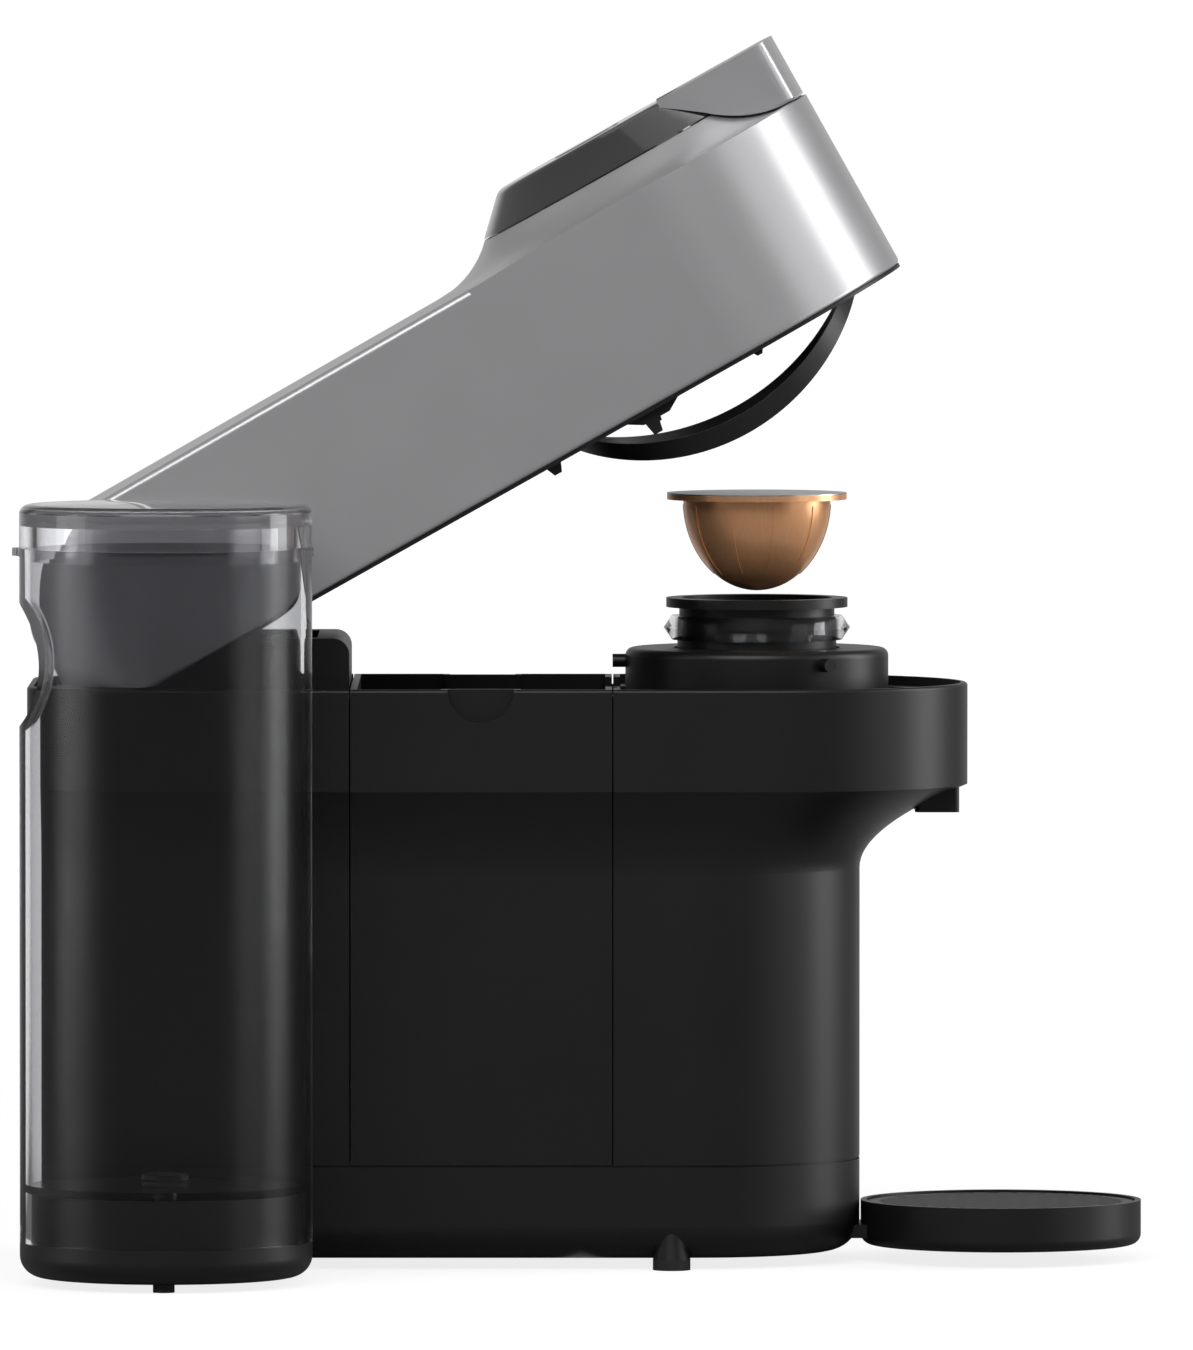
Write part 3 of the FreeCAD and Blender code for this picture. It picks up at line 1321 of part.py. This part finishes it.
def build():
    outer = body_solid(0, RIM_TOP)
    fixed = {
        "base_pan": base_pan(),
        "rubber_feet": rubber_feet(),
        "rear_shell": shell_lugs(rear_shell(outer), BODY_REAR - 1, SHELL_REAR_X),
        "front_shell": shell_lugs(front_shell(outer), SHELL_FRONT_X, RIM_FRONT + 1),
        "case_screws": case_screws(),
        "brew_deck": brew_deck(),
        "brew_collar": brew_collar(),
        "collar_pins": collar_pins(),
        "coffee_duct": coffee_duct(),
        "coffee_outlet": coffee_outlet(outer),
        "spin_motor": spin_motor(),
        "motor_bracket": motor_bracket(),
        "spin_bearing": spin_bearing(),
        "hinge_block": hinge_block(),
        "hinge_pin": hinge_pin(),
        "water_pump": water_pump(),
        "pump_bracket": pump_bracket(),
        "flow_heater": flow_heater(),
        "suction_hose": suction_hose(),
        "feed_hose": feed_hose(),
        "control_board": control_board(),
        "cord_gland": cord_gland(),
        "tank_base": tank_base(),
        "tank_bridge": tank_bridge(),
        "tank_feet": tank_feet(),
        "tank_probe": tank_probe(),
        "pod_container": pod_container(outer),
        "cup_tray": cup_tray(),
        "drip_grid": drip_grid(),
        "water_tank": water_tank(),
        "tank_lid": tank_lid(),
        "tank_valve": tank_valve(),
        "valve_seal": valve_seal(),
        "pod_holder": pod_holder(),
        "holder_ring": holder_ring(),
        "drive_shaft": drive_shaft(),
        "coffee_pod": coffee_pod(),
        "pod_foil": pod_foil(),
        "ground_coffee": ground_coffee(),
    }
    head = {
        "head_shell": head_shell(),
        "head_underside": head_underside(),
        "hinge_bushes": hinge_bushes(),
        "brew_bridge": brew_bridge(),
        "brew_bearing": brew_bearing(),
        "brew_plate": brew_plate(),
        "brew_seal": brew_seal(),
        "brew_needle": brew_needle(),
        "lock_ring": lock_ring(),
        "twist_carrier": twist_carrier(),
        "crown": crown(),
        "lever": lever(),
        "lever_trim": lever_trim(),
        "brew_button": brew_button(),
    }
    fixed.update({name: opened(shape) for name, shape in head.items()})
    return fixed


def main():
    os.makedirs("parts", exist_ok=True)
    for name, shape in build().items():
        place(shape).exportStep("parts/" + name + ".step")


main()
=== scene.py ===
import json
import math

import bpy
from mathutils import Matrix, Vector

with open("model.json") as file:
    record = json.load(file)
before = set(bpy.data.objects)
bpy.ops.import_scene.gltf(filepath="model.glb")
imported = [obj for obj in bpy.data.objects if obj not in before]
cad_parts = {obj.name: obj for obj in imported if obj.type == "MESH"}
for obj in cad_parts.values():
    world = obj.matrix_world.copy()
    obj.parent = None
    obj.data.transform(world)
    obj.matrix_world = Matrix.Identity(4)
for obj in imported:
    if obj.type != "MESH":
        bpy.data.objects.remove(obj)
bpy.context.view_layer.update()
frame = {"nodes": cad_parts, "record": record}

# Camera fitted to the photograph: height of the picture and focal length in pixels, place in metres.
PICTURE_H = 1350
FOCAL_PX = 20212
SENSOR_MM = 36.0
CAMERA_AT = (0.00555, -7.5147, 0.545)
PITCH = math.radians(2.462)
CLIP_END = 100

# Half width and far edge of the floor, in metres.
FLOOR_HALF = 30.0
FLOOR_FAR = 90.0

# Glow of the white background: the distance in metres over which it rises on the floor, its levels
# there, how far back a ray has to point to meet it, its share in mirrors, and the world's level for
# other rays.
GLOW_REACH = (0.5, 3.0)
GLOW_LEVELS = (0.82, 0.97)
BEHIND_REACH = (0.75, 0.95)
MIRROR_SHARE = 0.5
WORLD_LEVEL = 0.2

# Soft boxes: name, place and size in metres, power in watts. All aim at the middle of the object.
AIM = (0, 0, 0.22)
SOFT_BOXES = (
    ("side_box", (1.75, -0.8, 0.75), (0.9, 1.6), 5),
    ("front_box", (1.95, 0.35, 0.75), (0.8, 1.6), 23),
    ("rear_box", (-1.96, -0.42, 0.7), (1.05, 1.8), 13),
    ("fill", (-0.4, -2.2, 2.2), (2.6, 1.8), 56),
    ("top", (0, 0.8, 2.2), (1.6, 1.2), 2),
)

# Noise values at which a finish has its dark and its light tone, and the blue in its greys.
TONE_STOPS = (0.3, 0.7)
BLUE_SHARE = 1.02

# Depth of the textures, in metres.
GRAIN_DEPTH = 0.00005
FLAKE_DEPTH = 0.00003
FLOW_DEPTH = 0.0004
RUBBER_DEPTH = 0.00008
COFFEE_DEPTH = 0.0003

# Specular level of plastic, metallic share of paint, and how far the roughness of a gloss spreads.
PLASTIC_SHINE = 0.38
PAINT_METAL = 0.6
GLOSS_SPREAD = 0.05


class Shader:
    """Node tree of one material, with short names for what every surface here needs."""

    def __init__(self, name):
        self.material = bpy.data.materials.new(name)
        self.material.use_nodes = True
        self.nodes = self.material.node_tree.nodes
        self.links = self.material.node_tree.links
        self.base = self.nodes["Principled BSDF"]
        self.coords = self.nodes.new("ShaderNodeTexCoord").outputs["Object"]

    def set(self, **values):
        for socket, value in values.items():
            self.base.inputs[socket.replace("_", " ")].default_value = value

    def noise(self, scale, detail=3.0, stretch=(1, 1, 1)):
        mapping = self.nodes.new("ShaderNodeMapping")
        mapping.inputs["Scale"].default_value = stretch
        self.links.new(self.coords, mapping.inputs["Vector"])
        noise = self.nodes.new("ShaderNodeTexNoise")
        noise.inputs["Scale"].default_value = scale
        noise.inputs["Detail"].default_value = detail
        self.links.new(mapping.outputs["Vector"], noise.inputs["Vector"])
        return noise.outputs["Fac"]

    def colour(self, value, dark, light):
        """Base colour that drifts between two tones of the same finish."""
        ramp = self.nodes.new("ShaderNodeValToRGB")
        for point, place, tone in zip(ramp.color_ramp.elements, TONE_STOPS, (dark, light)):
            point.position = place
            point.color = (*tone, 1)
        self.links.new(value, ramp.inputs["Fac"])
        self.links.new(ramp.outputs["Color"], self.base.inputs["Base Color"])

    def roughness(self, value, low, high):
        span = self.nodes.new("ShaderNodeMapRange")
        span.inputs["To Min"].default_value = low
        span.inputs["To Max"].default_value = high
        self.links.new(value, span.inputs["Value"])
        self.links.new(span.outputs["Result"], self.base.inputs["Roughness"])

    def bump(self, value, strength, height):
        bump = self.nodes.new("ShaderNodeBump")
        bump.inputs["Strength"].default_value = strength
        bump.inputs["Distance"].default_value = height
        self.links.new(value, bump.inputs["Height"])
        self.links.new(bump.outputs["Normal"], self.base.inputs["Normal"])


def grey(value):
    return (value, value, value * BLUE_SHARE)


def moulded(name, dark, light, rough, grain, strength):
    """Moulded plastic with the fine spark-eroded grain of its tool."""
    surface = Shader(name)
    surface.colour(surface.noise(scale=18.0), grey(dark), grey(light))
    texture = surface.noise(grain, detail=4.0)
    surface.roughness(texture, *rough)
    surface.bump(texture, strength, GRAIN_DEPTH)
    surface.set(Specular_IOR_Level=PLASTIC_SHINE)
    return surface.material


def metallic_paint(name, dark, light):
    """Satin paint with metal flake under a thin lacquer."""
    surface = Shader(name)
    flake = surface.noise(scale=4200.0, detail=2.0)
    surface.colour(flake, grey(dark), grey(light))
    surface.roughness(surface.noise(scale=40.0), low=0.3, high=0.36)
    surface.bump(flake, strength=0.06, height=FLAKE_DEPTH)
    surface.set(Metallic=PAINT_METAL)
    return surface.material


def polished(name, dark, light, rough):
    """Dark gloss plastic under a clear coat."""
    surface = Shader(name)
    surface.colour(surface.noise(scale=12.0), grey(dark), grey(light))
    surface.roughness(surface.noise(scale=220.0), rough, rough + GLOSS_SPREAD)
    surface.set(Coat_Weight=1.0, Coat_Roughness=0.04)
    return surface.material


def clear_moulding(name, dark, light, bend, skin):
    """Clear moulded plastic with faint flow marks.

    bend is its refractive index, and skin the weight of the coat that makes its surface bright.
    """
    surface = Shader(name)
    flow = surface.noise(scale=9.0, detail=2.0, stretch=(1, 1, 0.25))
    surface.colour(flow, dark, light)
    surface.roughness(surface.noise(scale=160.0), low=0.0, high=0.008)
    surface.bump(flow, strength=0.02, height=FLOW_DEPTH)
    surface.set(Transmission_Weight=1.0, IOR=bend, Coat_Weight=skin, Coat_Roughness=0.25)
    return surface.material


def metal(name, dark, light, rough, grain, stretch=(1, 1, 1), share=1.0):
    """Bare or anodised metal with fine lines; share is how metallic it is."""
    surface = Shader(name)
    lines = surface.noise(grain, stretch=stretch)
    surface.colour(lines, dark, light)
    surface.roughness(lines, *rough)
    surface.bump(lines, strength=0.05, height=FLAKE_DEPTH)
    surface.set(Metallic=share)
    return surface.material


def rubber(name):
    surface = Shader(name)
    grain = surface.noise(scale=1500.0)
    surface.colour(surface.noise(scale=60.0), grey(0.012), grey(0.02))
    surface.roughness(grain, low=0.7, high=0.85)
    surface.bump(grain, strength=0.2, height=RUBBER_DEPTH)
    return surface.material


def coffee(name):
    surface = Shader(name)
    grains = surface.noise(scale=1800.0)
    surface.colour(grains, (0.02, 0.009, 0.004), (0.1, 0.05, 0.025))
    surface.roughness(grains, low=0.8, high=0.95)
    surface.bump(grains, strength=0.6, height=COFFEE_DEPTH)
    return surface.material


def circuit_board(name):
    surface = Shader(name)
    weave = surface.noise(scale=700.0)
    surface.colour(weave, (0.01, 0.09, 0.035), (0.02, 0.16, 0.06))
    surface.roughness(weave, low=0.3, high=0.45)
    return surface.material


def finishes():
    """One material for each slot of the record, and one for the lid."""
    copper = ((0.92, 0.46, 0.22), (0.96, 0.5, 0.25))
    steel = ((0.42, 0.42, 0.43), (0.56, 0.56, 0.57))
    return {
        "body_black": moulded("body_black", 0.006, 0.0078, (0.37, 0.44), 1600.0, 0.1),
        "deck_black": moulded("deck_black", 0.005, 0.0065, (0.34, 0.44), 1400.0, 0.1),
        "foot_rubber": rubber("foot_rubber"),
        "head_grey": metallic_paint("head_grey", 0.46, 0.51),
        "lever_grey": metallic_paint("lever_grey", 0.46, 0.51),
        "crown_gloss": polished("crown_gloss", 0.03, 0.04, 0.1),
        "button_gloss": polished("button_gloss", 0.035, 0.045, 0.12),
        "chrome_trim": metal("chrome_trim", grey(0.86), grey(0.94), (0.28, 0.36), 300.0),
        "ring_clear": clear_moulding("ring_clear", grey(0.8), grey(0.86), 1.3, 0.3),
        "tank_clear": clear_moulding("tank_clear", grey(0.66), grey(0.7), 1.04, 0.35),
        "lid_clear": clear_moulding("lid_clear", grey(0.92), grey(0.95), 1.35, 0.3),
        "pod_copper": metal("pod_copper", *copper, (0.3, 0.34), 900.0, (1, 1, 0.1), share=0.6),
        "pod_foil": metal("pod_foil", grey(0.45), grey(0.6), (0.25, 0.4), 240.0),
        "coffee": coffee("coffee"),
        "steel": metal("steel", *steel, (0.2, 0.32), 900.0, (1, 1, 0.05)),
        "plate_metal": metal("plate_metal", *steel, (0.3, 0.45), 600.0),
        "motor_metal": moulded("motor_metal", 0.05, 0.07, (0.4, 0.55), 900.0, 0.15),
        "board_green": circuit_board("board_green"),
    }


def dress(frame):
    """Gives every solid the finish of its slot; the tank's lid is clearer than the tank."""
    materials = finishes()
    for part in frame["record"]["subparts"]:
        node = frame["nodes"][part["node"]]
        slot = "lid_clear" if part["node"] == "tank_lid" else part["material_slot"]
        node.data.materials.clear()
        node.data.materials.append(materials[slot])


def combine(tree, operation, first, second):
    node = tree.nodes.new("ShaderNodeMath")
    node.operation = operation
    tree.links.new(first, node.inputs[0])
    tree.links.new(second, node.inputs[1])
    return node.outputs[0]


def ranged(tree, value, limits, results):
    node = tree.nodes.new("ShaderNodeMapRange")
    node.interpolation_type = "SMOOTHSTEP"
    node.inputs["From Min"].default_value = limits[0]
    node.inputs["From Max"].default_value = limits[1]
    node.inputs["To Min"].default_value = results[0]
    node.inputs["To Max"].default_value = results[1]
    tree.links.new(value, node.inputs["Value"])
    return node.outputs["Result"]


def background_rays(tree, behind):
    """1 for camera rays, and for glass rays that meet what lies behind; less in mirrors."""
    path = tree.nodes.new("ShaderNodeLightPath")
    mirrored = ranged(tree, path.outputs["Is Glossy Ray"], (0, 1), (0, MIRROR_SHARE))
    bent = combine(tree, "MAXIMUM", mirrored, path.outputs["Is Transmission Ray"])
    bent_behind = combine(tree, "MULTIPLY", bent, behind)
    return combine(tree, "MAXIMUM", path.outputs["Is Camera Ray"], bent_behind)


def split(tree, vector):
    node = tree.nodes.new("ShaderNodeSeparateXYZ")
    tree.links.new(vector, node.inputs["Vector"])
    return node.outputs


def floor():
    """Plain pale floor, brighter away from the object so that it runs into a white background."""
    mesh = bpy.data.meshes.new("floor")
    x, near, far = FLOOR_HALF, -FLOOR_HALF, FLOOR_FAR
    corners = [(-x, near, 0), (x, near, 0), (x, far, 0), (-x, far, 0)]
    mesh.from_pydata(corners, [], [(0, 1, 2, 3)])
    paper = Shader("floor_paper")
    fibre = paper.noise(scale=300.0)
    paper.colour(fibre, grey(0.25), grey(0.27))
    paper.roughness(fibre, low=0.85, high=0.95)
    paper.set(Emission_Color=(1, 1, 1, 1), Specular_IOR_Level=0.1)
    tree = paper.material.node_tree
    distance = tree.nodes.new("ShaderNodeVectorMath")
    distance.operation = "LENGTH"
    tree.links.new(paper.coords, distance.inputs[0])
    glow = ranged(tree, distance.outputs["Value"], GLOW_REACH, GLOW_LEVELS)
    bearing = tree.nodes.new("ShaderNodeVectorMath")
    bearing.operation = "NORMALIZE"
    tree.links.new(paper.coords, bearing.inputs[0])
    behind = ranged(tree, split(tree, bearing.outputs["Vector"])["Y"], BEHIND_REACH, (0, 1))
    strength = combine(tree, "MULTIPLY", background_rays(tree, behind), glow)
    tree.links.new(strength, paper.base.inputs["Emission Strength"])
    mesh.materials.append(paper.material)
    ground = bpy.data.objects.new("floor", mesh)
    bpy.context.collection.objects.link(ground)


def area_light(name, place, size, power):
    lamp = bpy.data.lights.new(name, "AREA")
    lamp.shape = "RECTANGLE"
    lamp.size = size[0]
    lamp.size_y = size[1]
    lamp.energy = power
    holder = bpy.data.objects.new(name, lamp)
    holder.location = place
    aim = Vector(AIM) - Vector(place)
    holder.rotation_euler = aim.to_track_quat("-Z", "Y").to_euler()
    bpy.context.collection.objects.link(holder)


def studio():
    """Soft boxes, and a white world for the camera that lights the object only a little."""
    for name, place, size, power in SOFT_BOXES:
        area_light(name, place, size, power)

    world = bpy.context.scene.world or bpy.data.worlds.new("studio")
    bpy.context.scene.world = world
    world.use_nodes = True
    tree = world.node_tree
    sky = tree.nodes["Background"]
    sky.inputs["Color"].default_value = (1, 1, 1, 1)
    direction = tree.nodes.new("ShaderNodeTexCoord").outputs["Generated"]
    behind = ranged(tree, split(tree, direction)["Y"], BEHIND_REACH, (0, 1))
    strength = ranged(tree, background_rays(tree, behind), (0, 1), (WORLD_LEVEL, 1.0))
    tree.links.new(strength, sky.inputs["Strength"])


def camera():
    lens = bpy.data.cameras.new("camera")
    lens.sensor_width = SENSOR_MM
    lens.lens = SENSOR_MM * FOCAL_PX / PICTURE_H
    lens.clip_end = CLIP_END
    holder = bpy.data.objects.new("camera", lens)
    holder.location = CAMERA_AT
    holder.rotation_euler = (math.pi / 2 - PITCH, 0, 0)
    bpy.context.collection.objects.link(holder)
    bpy.context.scene.camera = holder


dress(frame)
floor()
studio()
camera()
bpy.context.scene.view_settings.view_transform = "Standard"
